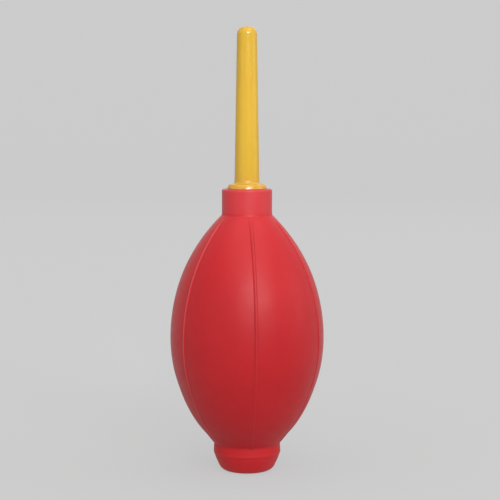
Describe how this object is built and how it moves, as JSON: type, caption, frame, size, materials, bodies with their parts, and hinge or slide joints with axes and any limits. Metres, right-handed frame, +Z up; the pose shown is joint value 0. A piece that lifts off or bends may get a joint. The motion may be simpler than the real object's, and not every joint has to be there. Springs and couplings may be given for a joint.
{
  "type": "pipette filler bulb",
  "caption": "Upright red rubber squeeze bulb with moulded ribs and a round foot, a yellow tapered push-in nozzle in its neck, and a floating-disc outlet valve in the foot.",
  "frame": {"origin": "centre of the flat ring under the foot that the bulb stands on", "axes": "+Z up along the bulb's own axis, from the foot to the nozzle's tip; one of the six moulded ribs faces -Y"},
  "size_m": [0.0602, 0.061, 0.174],
  "materials": {
    "red_rubber": "matt moulded rubber with a soft sheen",
    "yellow_plastic": "smooth semi-gloss moulded plastic",
    "valve_plastic": "smooth semi-gloss moulded plastic",
    "disc_rubber": "matt translucent silicone rubber"
  },
  "bodies": {
    "bulb_body": {"bulb": "red_rubber", "valve_body": "valve_plastic", "valve_cap": "valve_plastic"},
    "nozzle_body": {"nozzle": "yellow_plastic"},
    "disc_body": {"valve_disc": "disc_rubber"}
  },
  "joints": [
    {"name": "nozzle_pull", "type": "slide", "parent": "bulb_body", "child": "nozzle_body", "axis": [0, 0, 1], "range_m": [0, 0.016]},
    {"name": "disc_lift", "type": "slide", "parent": "bulb_body", "child": "disc_body", "axis": [0, 0, 1], "range_m": [0, 0.0013]}
  ]
}
